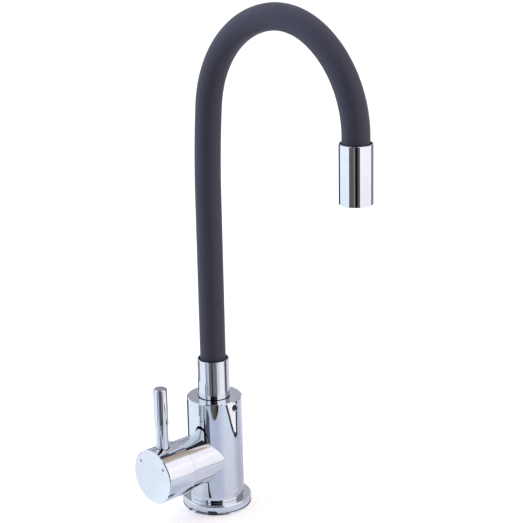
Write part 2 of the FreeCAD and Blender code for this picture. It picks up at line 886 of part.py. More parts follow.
def outlet_sleeve():
    """The chromed sleeve at the end of the hose, threaded inside for the aerator."""
    return at_outlet(turned([
        (aerator_thread_radius, outlet_bottom),
        (outlet_radius - outlet_edge, outlet_bottom),
        (outlet_radius, outlet_bottom + outlet_edge),
        (outlet_radius, outlet_top - outlet_edge),
        (outlet_radius - outlet_edge, outlet_top),
        (outlet_inner, outlet_top),
        (outlet_inner, shoulder_top),
        (shoulder_inner, shoulder_top),
        (shoulder_inner, shoulder_bottom),
        (aerator_thread_radius, shoulder_bottom),
    ]))


def outlet_bush():
    """The black rubber ring between the outlet sleeve's rim and the hose."""
    top = outlet_top - bush_recess
    return at_outlet(tube(outlet_inner - bush_gap, hose_radius + bush_gap, top - bush_length, top))


def outlet_nut():
    """The brass fitting in the outlet sleeve, with the barb that holds the hose."""
    barb_top = outlet_nut_top + barb_length
    return at_outlet(turned([
        (barb_bore, shoulder_top),
        (outlet_inner - bush_gap, shoulder_top),
        (outlet_inner - bush_gap, outlet_nut_top),
        (barb_radius, outlet_nut_top),
        (barb_radius, barb_top),
        (barb_bore, barb_top),
    ]))


def aerator_washer():
    """The rubber washer above the aerator."""
    return at_outlet(tube(aerator_radius, aerator_washer_bore, aerator_top, shoulder_bottom))


def aerator_housing():
    """The threaded ring that screws into the outlet sleeve, with a lip that holds the insert."""
    inner = aerator_radius - aerator_wall
    lip_top = aerator_bottom + aerator_lip_thickness
    return at_outlet(turned([
        (inner - aerator_lip, aerator_bottom),
        (aerator_radius, aerator_bottom),
        (aerator_radius, aerator_top),
        (inner, aerator_top),
        (inner, lip_top),
        (inner - aerator_lip, lip_top),
    ]))


def aerator_insert():
    """The plastic jet former: a plug drilled with rings of small holes."""
    radius = aerator_radius - aerator_wall - aerator_play
    low = aerator_bottom + aerator_lip_thickness
    high = aerator_top - aerator_play
    holes = [rod(aerator_hole_radius, low, high)]
    for ring in range(1, aerator_hole_rings + 1):
        count = 6 * ring
        distance = ring * aerator_hole_spacing
        for step in range(count):
            angle = 2 * math.pi * step / count
            x = distance * math.cos(angle)
            y = distance * math.sin(angle)
            holes.append(rod(aerator_hole_radius, low, high, x, y))
    return at_outlet(rod(radius, low, high).cut(Part.makeCompound(holes)))


os.makedirs(parts_folder, exist_ok=True)

single_parts = (
    base_ring, base_seal, tap_body, spout_lock_screw,
    cartridge_base, cartridge_port_seals, fixed_disc, moving_disc, disc_driver,
    lever_guide, pivot_pin, cartridge_case, cartridge_nut,
    spindle, lever_hub, temperature_marks, lever_stem, lever_grip,
    swivel_spigot, spigot_seals, glide_rings, spout_ferrule, ferrule_bush, lower_hose_nut,
    outlet_bush, outlet_nut, outlet_sleeve, aerator_washer, aerator_housing, aerator_insert,
)
for maker in single_parts:
    save(maker.__name__, maker())
for layer, outer, inner in layers:
    for number in range(hose_pieces):
        save(f"{layer}_{number + 1:02d}", hose_piece(number, outer, inner))

print(f"hose length {hose_length:.2f} mm, outlet axis at x {hose_end_point.x:.3f} mm")
print(f"outlet sleeve from z {outlet_bottom:.3f} to {outlet_top:.3f} mm")
for place in joint_places:
    point, lean = hose_line(place)
    print(f"bending point x {point.x:.3f} z {point.z:.3f} lean {math.degrees(lean):.2f} degrees")
print(f"disc travel {ball_travel:.3f} mm")
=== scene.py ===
# %% [markdown]
# # Flexible kitchen mixer tap
#
# The tap is a chromed brass column with a small lever at its side. A dark silicone hose rises
# from the column, goes over in an arch and ends in a chromed outlet. A steel gooseneck inside
# the hose lets it be bent by hand, and holds it where it is put.
#
# The hard pieces come finished from the CAD model. This script gives every piece its material,
# builds the hose's three layers again as smooth lengths, and sets up a small studio around the
# tap. The chrome shows that studio, so it decides most of the look.

import json
import math

import bpy
from mathutils import Matrix, Vector


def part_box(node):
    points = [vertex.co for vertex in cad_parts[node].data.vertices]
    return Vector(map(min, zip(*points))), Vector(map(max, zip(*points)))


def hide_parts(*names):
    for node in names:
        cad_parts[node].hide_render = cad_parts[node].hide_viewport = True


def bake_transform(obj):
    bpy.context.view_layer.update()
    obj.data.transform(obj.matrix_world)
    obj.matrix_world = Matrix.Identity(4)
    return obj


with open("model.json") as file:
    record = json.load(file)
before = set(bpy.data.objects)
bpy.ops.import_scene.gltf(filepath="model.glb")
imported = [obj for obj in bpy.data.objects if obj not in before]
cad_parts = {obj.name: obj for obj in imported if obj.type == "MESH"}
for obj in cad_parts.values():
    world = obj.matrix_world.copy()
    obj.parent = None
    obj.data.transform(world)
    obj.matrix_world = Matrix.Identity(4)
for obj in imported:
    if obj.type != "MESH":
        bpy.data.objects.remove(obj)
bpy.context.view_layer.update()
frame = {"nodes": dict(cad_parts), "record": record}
nodes = frame["nodes"]

# %% [markdown]
# ## Colours and material nodes
#
# Colours are written as sRGB hex values, the way a paint program shows them. Cycles computes
# with linear light, so one function turns them over. A second small function adds a shader node,
# sets its properties and fills its inputs, either with plain values or with other nodes' outputs.
# With these two, a material reads as a short list of what lies on what.

# %% Two helpers
MM = 0.001
MICROMETRE = 1e-6
SRGB_KNEE = 0.04045


def linear(hex_colour):
    """The linear RGBA of an sRGB hex colour."""
    channels = [int(hex_colour[place:place + 2], 16) / 255 for place in (1, 3, 5)]
    light = [c / 12.92 if c <= SRGB_KNEE else ((c + 0.055) / 1.055) ** 2.4 for c in channels]
    return (*light, 1.0)


def add_node(tree, kind, inputs=None, **settings):
    """Adds a node, sets its properties, and fills its inputs with values or linked outputs."""
    node = tree.nodes.new(kind)
    for name, value in settings.items():
        setattr(node, name, value)
    for name, value in (inputs or {}).items():
        if isinstance(value, bpy.types.NodeSocket):
            tree.links.new(value, node.inputs[name])
        else:
            node.inputs[name].default_value = value
    return node


print("mid grey in linear light:", [round(c, 3) for c in linear("#808080")])

# %% [markdown]
# Every surface here has the same build: a Principled shader whose colour, roughness and fine
# relief vary a little. Real surfaces are never quite even, and the eye misses that at once.
# The grain's size is given in millimetres, and soft clouds eight times as large lie over it.
# Noise has a scale in repeats per metre, so it is one over the size. Noise seldom comes near 0
# or 1, so the colours and the roughness run over its middle part.

# %% One builder for the surfaces
CLOUD_PER_GRAIN = 8
NOISE_LOW, NOISE_HIGH = 0.3, 0.7


def surface_material(name, dark, light, grain_mm, roughness, relief_um, metallic=0.0, fine_share=0.5,
                     **sockets):
    """A Principled material with a cloudy colour and roughness, and a fine relief.

    dark and light are hex colours, roughness is a pair, and relief_um is the relief's depth
    in micrometres. fine_share is the grain's share against the clouds. sockets are further
    Principled inputs, by name with _ for a space."""
    material = bpy.data.materials.new(name)
    material.use_nodes = True
    tree = material.node_tree
    tree.nodes.clear()
    place = add_node(tree, "ShaderNodeTexCoord").outputs["Object"]
    cloud = add_node(tree, "ShaderNodeTexNoise", {
        "Vector": place, "Scale": 1 / (CLOUD_PER_GRAIN * grain_mm * MM), "Detail": 3.0})
    grain = add_node(tree, "ShaderNodeTexNoise", {
        "Vector": place, "Scale": 1 / (grain_mm * MM), "Detail": 2.0})
    blend = add_node(tree, "ShaderNodeMix", {
        "Factor": fine_share, "A": cloud.outputs["Fac"], "B": grain.outputs["Fac"]}, data_type="FLOAT")
    colour = add_node(tree, "ShaderNodeValToRGB", {"Fac": blend.outputs["Result"]})
    for stop, position, paint in zip(colour.color_ramp.elements, (NOISE_LOW, NOISE_HIGH), (dark, light)):
        stop.position = position
        stop.color = linear(paint)
    rough = add_node(tree, "ShaderNodeMapRange", {
        "Value": blend.outputs["Result"], "From Min": NOISE_LOW, "From Max": NOISE_HIGH,
        "To Min": roughness[0], "To Max": roughness[1]})
    relief = add_node(tree, "ShaderNodeBump", {
        "Height": grain.outputs["Fac"], "Strength": 1.0, "Distance": relief_um * MICROMETRE})
    shader = add_node(tree, "ShaderNodeBsdfPrincipled", {
        "Base Color": colour.outputs["Color"], "Roughness": rough.outputs["Result"],
        "Normal": relief.outputs["Normal"], "Metallic": metallic})
    for socket, value in sockets.items():
        shader.inputs[socket.replace("_", " ")].default_value = value
    add_node(tree, "ShaderNodeOutputMaterial", {"Surface": shader.outputs["BSDF"]})
    print(f"{name}: grain {grain_mm} mm, roughness {roughness}")
    return material


print("surface builder ready, clouds are", CLOUD_PER_GRAIN, "times the grain")

# %% [markdown]
# ## Chrome
#
# The column, lever and sleeves are brass that was turned, polished and plated with nickel and a
# thin layer of chrome. Chrome reflects two thirds to three quarters of the light, a little more
# of the blue, so it is a mirror with a cool, slightly darker picture in it. Here it reflects
# three quarters. Polishing leaves a haze in soft patches about a centimetre wide: the roughness
# wanders between 0.02 and 0.05. There is also a faint waviness, a fraction of a micrometre deep,
# which keeps long reflections from being ruler straight.

# %% Polished chrome plate
CHROME = {"dark": "#DADDE2", "light": "#E6E8EC", "grain_mm": 6.0, "roughness": (0.02, 0.05),
          "relief_um": 0.6, "metallic": 1.0, "fine_share": 0.3}
chrome_plate = surface_material("chrome_plate", **CHROME)

# %% [markdown]
# The lever hub turns in a thin gap in front of the housing, and that gap lies in shade. The last
# half millimetre of the hub is darkened as painted shade, which gives the fine dark line between
# hub and housing. The hub's material is the chrome above, mixed over to a dark tone by the
# distance from the rim, so the painted shade needs no texture.

# %% The lever hub's chrome, with a painted shade along its rear edge
# painted shade: the last half millimetre before the hub's rear rim is darkened, standing for the shade in
# the gap
GAP_SHADE_WIDTH = 0.5 * MM
GAP_SHADE_FADE = 0.1 * MM
shaded_hub_chrome = surface_material("hub_chrome_painted_gap_shade", **CHROME)
tree = shaded_hub_chrome.node_tree
hub_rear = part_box("lever_hub")[1][1]
along_hub = add_node(tree, "ShaderNodeSeparateXYZ", {
    "Vector": add_node(tree, "ShaderNodeTexCoord").outputs["Object"]}).outputs["Y"]
gap_shade = add_node(tree, "ShaderNodeMapRange", {
    "Value": along_hub, "From Min": hub_rear - GAP_SHADE_WIDTH,
    "From Max": hub_rear - GAP_SHADE_WIDTH + GAP_SHADE_FADE})
shader = next(node for node in tree.nodes if node.type == "BSDF_PRINCIPLED")
plated = shader.inputs["Base Color"].links[0].from_socket
gap_shaded = add_node(tree, "ShaderNodeMix", data_type="RGBA")
tree.links.new(gap_shade.outputs["Result"], gap_shaded.inputs["Factor"])
tree.links.new(plated, gap_shaded.inputs["A"])
# the painted shade's near black tone
gap_shaded.inputs["B"].default_value = linear("#0C0C10")
tree.links.new(gap_shaded.outputs["Result"], shader.inputs["Base Color"])
print("the hub's rear edge is at y =", round(hub_rear, 4))

# %% [markdown]
# ## Silicone and rubber
#
# The hose's skin is extruded silicone. Its surface is matt and dry: it is nearly black, but it
# scatters a broad soft sheen, so its sides take the colour of the lamps. The bushes and seals
# are moulded EPDM rubber, which is blacker. The bushes sit inside a chromed rim and hardly
# shine, so their reflection is turned down.

# %% Soft materials
hose_silicone = surface_material(
    "hose_silicone", dark="#2E2D3A", light="#353442", grain_mm=0.5, roughness=(0.5, 0.6), relief_um=12,
    IOR=1.41, Sheen_Weight=0.12, Sheen_Roughness=0.5)
bush_rubber = surface_material(
    "bush_rubber", dark="#060607", light="#0C0C0E", grain_mm=0.6, roughness=(0.5, 0.65), relief_um=8,
    IOR=1.52, Specular_IOR_Level=0.08)
seal_rubber = surface_material(
    "seal_rubber", dark="#101012", light="#19191B", grain_mm=0.6, roughness=(0.5, 0.65), relief_um=8,
    IOR=1.52)

# %% [markdown]
# ## The inner pieces
#
# Inside are machined metal, lapped ceramic and moulded plastics. Most of them only show when the
# tap is taken apart, but each has the finish of the real one. A metal gets its colour from its
# reflection, so its base colour is that of the metal and its IOR stays as it is. A plastic
# mirrors a little white light by its IOR, over a colour of its own.

# %% Metals and ceramic
# turned on a lathe: fine tool marks blur the reflection
turned_brass = surface_material(
    "turned_brass", dark="#B08D4E", light="#CDAA68", grain_mm=0.8, roughness=(0.18, 0.34), relief_um=3,
    metallic=1.0)
# drawn and turned stainless steel: a grey, soft reflection
machined_steel = surface_material(
    "machined_steel", dark="#8F9092", light="#B4B5B6", grain_mm=0.6, roughness=(0.22, 0.38), relief_um=3,
    metallic=1.0)
# blasted stainless steel, for the lock screw: small pits make it evenly grey from all sides
blasted_steel = surface_material(
    "blasted_steel", dark="#6E6F77", light="#84858D", grain_mm=0.8, roughness=(0.5, 0.6), relief_um=6,
    metallic=1.0)
# lapped alumina: so flat that it shines, though it is no metal
lapped_ceramic = surface_material(
    "lapped_ceramic", dark="#E4E1D8", light="#F0EEE6", grain_mm=0.4, roughness=(0.12, 0.2), relief_um=0.5,
    IOR=1.76)

# %% Plastics and enamel
# moulded acetal, the cartridge's body: a dull, waxy white
acetal_plastic = surface_material(
    "acetal_plastic", dark="#C9C8C2", light="#D8D7D1", grain_mm=0.7, roughness=(0.35, 0.5), relief_um=6,
    IOR=1.48)
# sliced from a PTFE tube: whiter and softer, with a very low IOR
glide_plastic = surface_material(
    "glide_plastic", dark="#DEDDD8", light="#ECEBE6", grain_mm=0.7, roughness=(0.4, 0.5), relief_um=4,
    IOR=1.38)
# extruded PEX water tube: smooth along its length and slightly grey
tube_plastic = surface_material(
    "tube_plastic", dark="#C8CCCC", light="#DADEDE", grain_mm=0.9, roughness=(0.3, 0.42), relief_um=4,
    IOR=1.5)
# moulded ABS of the aerator: mid grey, half matt
aerator_plastic = surface_material(
    "aerator_plastic", dark="#6E7376", light="#83888B", grain_mm=0.5, roughness=(0.35, 0.5), relief_um=5,
    IOR=1.49)
# enamel run into the two small hollows of the hub: smooth and glossy
mark_enamel = surface_material(
    "mark_enamel", dark="#666E7E", light="#788090", grain_mm=0.3, roughness=(0.15, 0.25), relief_um=2,
    IOR=1.5)

# %% [markdown]
# ## Dressing the CAD pieces
#
# The part's record names a slot for each piece, which says what the piece is made of. A table
# turns a slot into a material, so a new piece of a known make needs no line here. Two pieces look
# unlike the others of their slot and are dressed afterwards: the lock screw and the lever hub.

# %% Each record slot gets its material
finish_of_slot = {
    "chrome": chrome_plate,
    "brass": turned_brass,
    "steel": machined_steel,
    "disc_ceramic": lapped_ceramic,
    "cartridge_plastic": acetal_plastic,
    "glide_plastic": glide_plastic,
    "tube_plastic": tube_plastic,
    "aerator_plastic": aerator_plastic,
    "aerator_metal": chrome_plate,
    "seal_rubber": seal_rubber,
    "bush_rubber": bush_rubber,
    "hose_silicone": hose_silicone,
    "mark_enamel": mark_enamel,
}
dressed = 0
for subpart in frame["record"]["subparts"]:
    for material_slot in nodes[subpart["node"]].material_slots:
        material_slot.material = finish_of_slot[subpart["material_slot"]]
        dressed += 1
# the lever hub takes the chrome with the painted shade along its rear edge
for node, material in (("spout_lock_screw", blasted_steel), ("lever_hub", shaded_hub_chrome)):
    for material_slot in nodes[node].material_slots:
        material_slot.material = material
print("CAD nodes given a material:", dressed)

# %% [markdown]
# ## The hose's line
#
# The hose goes straight up, over four arcs that run into each other, and straight down. A plain
# function gives the point and the lean at any distance along it, so every ring of the hose sits
# on the same line as the CAD lengths that it replaces.

# %% The line of the hose
HOSE_RADIUS = 11.06 * MM
HOSE_FOOT = 118.0 * MM
HOSE_LEG = 164.4 * MM
HOSE_BENDS = ((787.0 * MM, 5.7), (91.6 * MM, 74.1), (73.4 * MM, 41.0), (84.1 * MM, 59.2))
HOSE_TAIL = 18.3 * MM
FIRST_JOINT = 42.0 * MM
LAST_JOINT_BEFORE_END = 34.0 * MM
HOSE_LENGTHS = 10

hose_spans = [(None, HOSE_LEG)]
hose_spans += [(radius, radius * math.radians(angle)) for radius, angle in HOSE_BENDS]
hose_spans.append((None, HOSE_TAIL))
hose_length = sum(length for radius, length in hose_spans)


def hose_line(distance):
    """The point of the hose's line at a distance from its foot, and its lean from upright."""
    x, z, lean, left = 0.0, HOSE_FOOT, 0.0, distance
    for radius, length in hose_spans:
        step = min(left, length)
        if radius is None:
            x += step * math.sin(lean)
            z += step * math.cos(lean)
        else:
            x += radius * (math.cos(lean) - math.cos(lean + step / radius))
            z += radius * (math.sin(lean + step / radius) - math.sin(lean))
            lean += step / radius
        left -= step
    return Vector((x, 0.0, z)), lean


print(f"hose {hose_length / MM:.1f} mm long, ends at x {hose_line(hose_length)[0].x / MM:.1f} mm")

# %% [markdown]
# ## The hose's three layers
#
# The real hose is a silicone skin over a wound steel gooseneck, with a water tube inside. The
# model bends at nine places, so each layer is made in nine lengths that meet halfway between the
# bending places. Each length is a row of rings joined by quads. Its outward direction at each
# ring is known exactly, so the shading normals are set one by one, and the lengths meet without a
# line. Each length spans one joint. The three layers follow the same line, so none comes
# through another.

# %% Rings joined into lengths
RING_STEP = 1.5 * MM
POINTS_ROUND = 72
BLEND_MARGIN = 0.8 * MM
CORE_RADIUS = 8.10 * MM
TUBE_RADIUS = 6.20 * MM


def hose_length_of(name, start, end, layer_radius, material):
    """A length of one of the hose's layers between two distances, as an open tube."""
    rings = max(2, round((end - start) / RING_STEP))
    points, outward, faces = [], [], []
    for ring in range(rings + 1):
        centre, lean = hose_line(start + (end - start) * ring / rings)
        across = Vector((math.cos(lean), 0.0, -math.sin(lean)))
        for place in range(POINTS_ROUND):
            angle = 2 * math.pi * place / POINTS_ROUND
            direction = across * math.cos(angle) + Vector((0.0, 1.0, 0.0)) * math.sin(angle)
            points.append(centre + direction * layer_radius)
            outward.append(direction)
    for ring in range(rings):
        low, high = ring * POINTS_ROUND, (ring + 1) * POINTS_ROUND
        for place in range(POINTS_ROUND):
            beside = (place + 1) % POINTS_ROUND
            faces.append((low + place, low + beside, high + beside, high + place))
    mesh = bpy.data.meshes.new(name)
    mesh.from_pydata(points, [], faces)
    for polygon in mesh.polygons:
        polygon.use_smooth = True
    mesh.normals_split_custom_set_from_vertices(outward)
    mesh.materials.append(material)
    piece = bpy.data.objects.new(name, mesh)
    bpy.context.collection.objects.link(piece)
    return piece


print(f"rings every {RING_STEP / MM} mm, {POINTS_ROUND} points round")

# %% Nine lengths, each spanning one joint
joint_step = (hose_length - LAST_JOINT_BEFORE_END - FIRST_JOINT) / (HOSE_LENGTHS - 2)
joint_places = [FIRST_JOINT + joint_step * number for number in range(HOSE_LENGTHS - 1)]
hose_layers = (
    ("hose_skin", "hose_sleeve", HOSE_RADIUS, hose_silicone, "hose_silicone"),
    ("steel_gooseneck", "hose_core", CORE_RADIUS, machined_steel, "steel"),
    ("water_line", "water_tube", TUBE_RADIUS, tube_plastic, "tube_plastic"),
)
for number, joint in enumerate(joint_places):
    last = number == HOSE_LENGTHS - 2
    bend_start, bend_end = joint - joint_step / 2, joint + joint_step / 2
    start = bend_start if number else 0.0
    end = hose_length if last else bend_end
    half_lean = (hose_line(bend_end)[1] - hose_line(bend_start)[1]) / 2
    inset = HOSE_RADIUS * math.sin(half_lean) + BLEND_MARGIN
    for layer, node, radius, material, slot in hose_layers:
        piece = hose_length_of(f"{layer}_{number + 1}", start, end, radius, material)
        stood_for = [f"{node}_{number + 1:02d}"]
        if last:
            stood_for.append(f"{node}_{HOSE_LENGTHS:02d}")
        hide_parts(*stood_for)
        hose_line(bend_start + inset)[0]
        hose_line(bend_end - inset)[0]
        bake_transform(piece)
print("lengths of each layer:", len(joint_places))

# %% [markdown]
# ## The studio
#
# Chrome has no colour of its own to speak of: it shows the room. The tap stands on a pale
# lavender table with a pale blue card at its left. Beyond the table's front edge the room is
# dark round the camera, and to the right there is a large white panel. An upright chromed
# cylinder turns every one of these into an upright band, and the table's straight edges into
# curved ones: a dark tongue below the ferrule and a white wedge at the right.
#
# The sheets below lie flat around the tap and rise as a round wall further off. They show in
# the metal only: the camera doesn't see them, and they throw no light or shadow. Each has its
# own upright axis and faces the camera, and its colour goes by the angle round that axis. Bands
# that touch have a sharp edge between them, and others run into each other over the gap. A sheet
# may have a second row of bands, into which the first one runs with the distance.
#
# A real studio does the same with card and black cloth. Plain sheets of light were chosen here
# because they stay clean in the mirror of the chrome. They share a short list of tones, named
# after the cloth, card or wall that each stands for. The bands' edges were set so that the
# chrome shows about the bands that it shows in the photograph.

# %% The studio's tones
STUDIO_TONES = {
    "black cloth": "#121116",
    "charcoal cloth": "#25262D",
    "dark edge": "#302F33",
    "slate": "#3B3E4B",
    "slate blue": "#4A5063",
    "dark olive": "#44443E",
    "olive": "#58574E",
    "dark grey": "#5E5F63",
    "grey": "#6B6C72",
    "steel grey": "#7B7E86",
    "pale grey": "#8C8E98",
    "brown": "#A69790",
    "light brown": "#B8A9A2",
    "wall grey": "#A5A7AF",
    "table shade": "#AEAEBA",
    "table blue": "#AFB5C8",
    "soft blue": "#B8BFCE",
    "table light": "#C5C7D4",
    "lavender": "#D1D0DC",
    "grey blue": "#CCD5E1",
    "pale blue": "#D5DEEC",
    "blue card": "#DDE5F1",
    "bright blue": "#E3EBF7",
    "warm white": "#E8E4E8",
    "white panel": "#F1EEF4",
    "bright panel": "#FAF6FA",
}
print("tones in the studio:", len(STUDIO_TONES))

# %% One glow for all the sheets
VIEW_OF_TAP = -41.5
VIEW_OF_OUTLET = -46.6
TAP_PLACE = (0.0, 0.0)
OUTLET_PLACE = (0.170, 0.0)
SHEET_STRENGTH = 1.32
SHARP_EDGE = 0.1
FULL_TURN = 360


def glow_material(name, near, far=None, reach=None):
    """A surface that only glows, in bands of (first angle, last angle, tone).

    Chrome gives back about three quarters of the light, so the glow is that much stronger, and
    a tone is what the chrome then shows. reach is the pair of distances between which the near
    bands run into the far ones."""
    material = bpy.data.materials.new(name)
    material.use_nodes = True
    tree = material.node_tree
    tree.nodes.clear()
    place = add_node(tree, "ShaderNodeTexCoord").outputs["Object"]
    gradient = add_node(tree, "ShaderNodeTexGradient", {"Vector": place}, gradient_type="RADIAL")
    rows = []
    for bands in (near, far or near):
        ramp = add_node(tree, "ShaderNodeValToRGB", {"Fac": gradient.outputs["Fac"]})
        stops = [(first + SHARP_EDGE, tone) for first, last, tone in bands]
        stops += [(last - SHARP_EDGE, tone) for first, last, tone in bands]
        for number, (degrees, tone) in enumerate(sorted(stops)):
            position = 0.5 + degrees / FULL_TURN
            if number > 1:
                ramp.color_ramp.elements.new(position)
            ramp.color_ramp.elements[number].position = position
            ramp.color_ramp.elements[number].color = linear(STUDIO_TONES[tone])
        rows.append(ramp.outputs["Color"])
    colour = rows[0]
    if far:
        away = add_node(tree, "ShaderNodeVectorMath", {0: place}, operation="LENGTH")
        share = add_node(tree, "ShaderNodeMapRange", {
            "Value": away.outputs["Value"], "From Min": reach[0], "From Max": reach[1]})
        mixed = add_node(tree, "ShaderNodeMix", data_type="RGBA")
        tree.links.new(share.outputs["Result"], mixed.inputs["Factor"])
        tree.links.new(rows[0], mixed.inputs["A"])
        tree.links.new(rows[1], mixed.inputs["B"])
        colour = mixed.outputs["Result"]
    glow = add_node(tree, "ShaderNodeEmission", {"Color": colour, "Strength": SHEET_STRENGTH})
    add_node(tree, "ShaderNodeOutputMaterial", {"Surface": glow.outputs["Emission"]})
    return material


print("sheets glow at", SHEET_STRENGTH)

# %% Flat and round sheets
SHEET_COLUMN = 3


def add_sheet(name, points, faces, material, centre=TAP_PLACE, facing=VIEW_OF_TAP):
    """Adds a glowing sheet whose points are (towards the camera, to its right, up)."""
    mesh = bpy.data.meshes.new(name)
    mesh.from_pydata(points, [], faces)
    mesh.materials.append(material)
    sheet = bpy.data.objects.new(name, mesh)
    sheet.location = (*centre, 0.0)
    sheet.rotation_euler = (0.0, 0.0, math.radians(facing))
    bpy.context.collection.objects.link(sheet)
    sheet.visible_camera = False
    sheet.visible_diffuse = False
    sheet.visible_transmission = False
    sheet.visible_shadow = False
    print(f"{name}: {len(faces)} faces")
    return sheet


def round_sheet(name, inner, outer, near, far=None, reach=None, **place):
    """A sheet round its axis between two (distance, height) points, as wide as its near bands."""
    first, last = near[0][0], near[-1][1]
    columns = math.ceil((last - first) / SHEET_COLUMN)
    points = []
    for column in range(columns + 1):
        turn = math.radians(first + (last - first) * column / columns)
        points += [(distance * math.cos(turn), distance * math.sin(turn), height)
                   for distance, height in (inner, outer)]
    faces = [(low, low + 1, low + 3, low + 2) for low in range(0, 2 * columns, 2)]
    return add_sheet(name, points, faces, glow_material(name, near, far, reach), **place)


print("a round sheet has a column every", SHEET_COLUMN, "degrees")

# %% [markdown]
# The outlet hangs high, so its sides show the floor a good way off, and it sees another room than
# the column does. The far sheet has its axis under the outlet for that. The near sheet round the
# tap draws the tongue in the column and in the ferrule. All the level sheets lie a few tenths of
# a millimetre over one another, and a higher one covers a lower one.

# %% The room far off, as the outlet sees it on the floor
WALL = 2.4
FLOOR_FAR_HEIGHT = 1.0 * MM
FLOOR_NEAR_HEIGHT = 1.2 * MM
CARDS_FAR_HEIGHT = 1.5 * MM
CARDS_NEAR_HEIGHT = 1.6 * MM
TABLE_EDGE_HEIGHT = 2.0 * MM
TABLE_TOP_HEIGHT = 2.3 * MM
BOX_HEIGHT = 2.5 * MM
SHADE_HEIGHT = 2.6 * MM
CASE_HEIGHT = 2.7 * MM
RING_CARD_HEIGHT = 2.9 * MM

round_sheet("room_floor_far", (0.62, FLOOR_FAR_HEIGHT), (WALL, FLOOR_FAR_HEIGHT), (
    (-180, -132, "charcoal cloth"),
    (-132, -47, "bright blue"),
    (-47, -15, "olive"),
    (-15, -7, "steel grey"),
    (-7, 11, "black cloth"),
    (11, 26, "olive"),
    (26, 118, "white panel"),
    (118, 180, "steel grey"),
), centre=OUTLET_PLACE, facing=VIEW_OF_OUTLET)

# %% The floor nearer by, as the tongue in the body and the ferrule see it
round_sheet("room_floor_near", (0.02, FLOOR_NEAR_HEIGHT), (0.64, FLOOR_NEAR_HEIGHT), (
    (-180, -139, "slate"),
    (-139, -58, "blue card"),
    (-58, -52, "grey"),
    (-52, -41, "pale blue"),
    (-41, -17, "grey"),
    (-15, 8, "black cloth"),
    (10, 21, "dark grey"),
    (21, 180, "white panel"),
), (
    (-180, -150, "soft blue"),
    (-142, -120, "steel grey"),
    (-112, -62, "blue card"),
    (-56, -48, "steel grey"),
    (-44, -37, "soft blue"),
    (-31, -18, "dark grey"),
    (-12, -8, "dark edge"),
    (-2, 20, "grey"),
    (28, 40, "table light"),
    (46, 84, "warm white"),
    (88, 104, "grey"),
    (112, 180, "lavender"),
), (0.262, 0.275))

# %% [markdown]
# Close to the tap there are pale blue cards at the left, a shade right under the ring, and a
# narrow card round it. The ring's side is upright and low, so it shows only what lies within a
# few centimetres. Its card is therefore separate from the table that the column shows.

# %% The cards at the tap's left
round_sheet("left_cards_far", (0.15, CARDS_FAR_HEIGHT), (0.30, CARDS_FAR_HEIGHT), (
    (-180, -134, "slate blue"),
    (-134, -67, "blue card"),
    (-67, -61, "charcoal cloth"),
    (-61, -49, "blue card"),
    (-49, -40, "pale grey"),
))
round_sheet("left_cards_near", (0.034, CARDS_NEAR_HEIGHT), (0.15, CARDS_NEAR_HEIGHT), (
    (-180, -123, "wall grey"),
    (-118, -112, "slate blue"),
    (-107, -101, "wall grey"),
    (-92, -60, "table light"),
    (-45, 0, "table shade"),
), (
    (-180, -134, "slate blue"),
    (-134, -75, "blue card"),
    (-68, -45, "bright blue"),
    (-40, 0, "pale blue"),
), (0.05, 0.11))
round_sheet("contact_shade", (0.02, SHADE_HEIGHT), (0.0314, SHADE_HEIGHT), ((-180, 180, "slate"),))

# %% The narrow card round the ring, which the ring's own side shows
round_sheet("ring_card", (0.0345, RING_CARD_HEIGHT), (0.048, RING_CARD_HEIGHT), (
    (-180, -50, "table light"),
    (-40, 10, "soft blue"),
    (26, 52, "table light"),
    (65, 180, "table shade"),
))

# %% [markdown]
# The table's top is given by its corners, as (towards the camera, to its right). Its front is
# round. At the right it has a notch, through which the white panel shows, and a dark edge there
# and at the left, which draws the thin dark lines along the body. The notch's corners are close
# together, because the column bends a straight edge and the photographed line is its own curve.
# On the table's front stand a dark box and a dark case, which the column shows as dark patches.

# %% The table
TABLE_REACH = 0.266
TABLE_TURNS = (-40, -30, -20, -10, 0, 10, 20, 30, 42)
TABLE_LEFT = 0.033
LEFT_EDGE = 0.012
BACK_CORNER = (-0.52, 0.0)
TOP_NOTCH = ((0.162, 0.1875), (0.129, 0.1897), (0.096, 0.187), (0.065, 0.180), (0.044, 0.176),
             (0.006, 0.167), (-0.030, 0.170), (-0.048, 0.214), (-0.062, 0.249), (-0.200, 0.600),
             (-0.520, 0.700))
EDGE_NOTCH = ((0.165, 0.207), (0.131, 0.209), (0.0965, 0.2069), (0.0655, 0.1989), (0.0352, 0.1872),
              (0.011, 0.1816), (-0.006, 0.181), (-0.0153, 0.251), (-0.060, 0.600), (-0.520, 0.700))
round_front = [(TABLE_REACH * math.cos(turn), TABLE_REACH * math.sin(turn))
               for turn in map(math.radians, TABLE_TURNS)]


def flat_sheet(name, corners, height, material):
    """A sheet with one face, whose corners are (towards the camera, to its right)."""
    return add_sheet(name, [(*corner, height) for corner in corners], [range(len(corners))], material)


TABLE_FADE = (0.07, 0.22)
table_near = (
    (-180, 18, "table blue"),
    (36, 68, "table light"),
    (91, 180, "table shade"),
)
table_far = (
    (-180, 10, "table blue"),
    (40, 75, "grey blue"),
    (95, 108, "table blue"),
    (140, 180, "lavender"),
)
edge_corners = [(TABLE_LEFT - LEFT_EDGE, 0.0), *round_front, *EDGE_NOTCH, BACK_CORNER]
top_corners = [(TABLE_LEFT, 0.0), *round_front, *TOP_NOTCH, BACK_CORNER]
flat_sheet("table_edge", edge_corners, TABLE_EDGE_HEIGHT,
           glow_material("table_edge", ((-180, 180, "dark edge"),)))
flat_sheet("table_top", top_corners, TABLE_TOP_HEIGHT,
           glow_material("table_top", table_near, table_far, TABLE_FADE))

